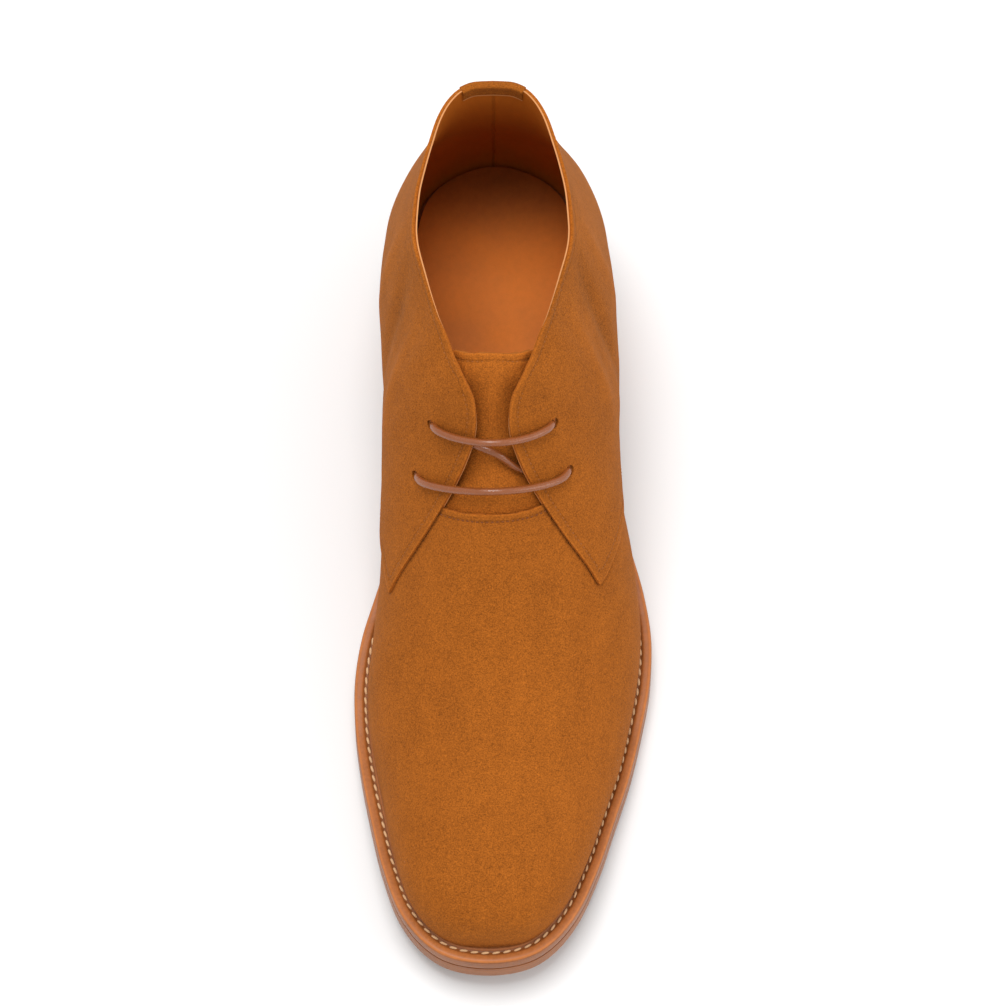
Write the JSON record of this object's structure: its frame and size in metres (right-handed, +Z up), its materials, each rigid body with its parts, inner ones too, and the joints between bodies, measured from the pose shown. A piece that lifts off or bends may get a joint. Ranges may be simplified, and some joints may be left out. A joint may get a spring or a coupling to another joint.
{
  "type": "chukka boot",
  "caption": "Left ankle-high suede chukka boot with open lacing, round lace, welted leather sole and stacked heel.",
  "frame": {"origin": "on the floor under the middle of the boot's length and width, where the boot stands", "axes": "+Z up; the toe points along -Y and the heel along +Y; the outer (lateral) side of this left boot faces +X"},
  "size_m": [0.1037, 0.304, 0.1334],
  "materials": {
    "suede": "tan suede, short nap, matte",
    "tongue_suede": "tan suede, matte",
    "welt_leather": "natural veg-tanned leather, semi-gloss edge",
    "sole_leather": "natural sole leather, burnished edge",
    "stack_leather": "stacked leather lifts, burnished",
    "top_leather": "sole leather, worn smooth",
    "lining_leather": "smooth lining leather, satin",
    "heel_rubber": "black rubber, matte",
    "lace_leather": "waxed round cord, soft sheen"
  },
  "bodies": {
    "root": {"outsole": "sole_leather", "welt": "welt_leather", "insole": "lining_leather", "upper": "suede", "tongue": "tongue_suede", "lace": "lace_leather", "heel_stack": "stack_leather", "heel_rubber": "heel_rubber", "heel_top_piece": "top_leather"}
  },
  "joints": []
}
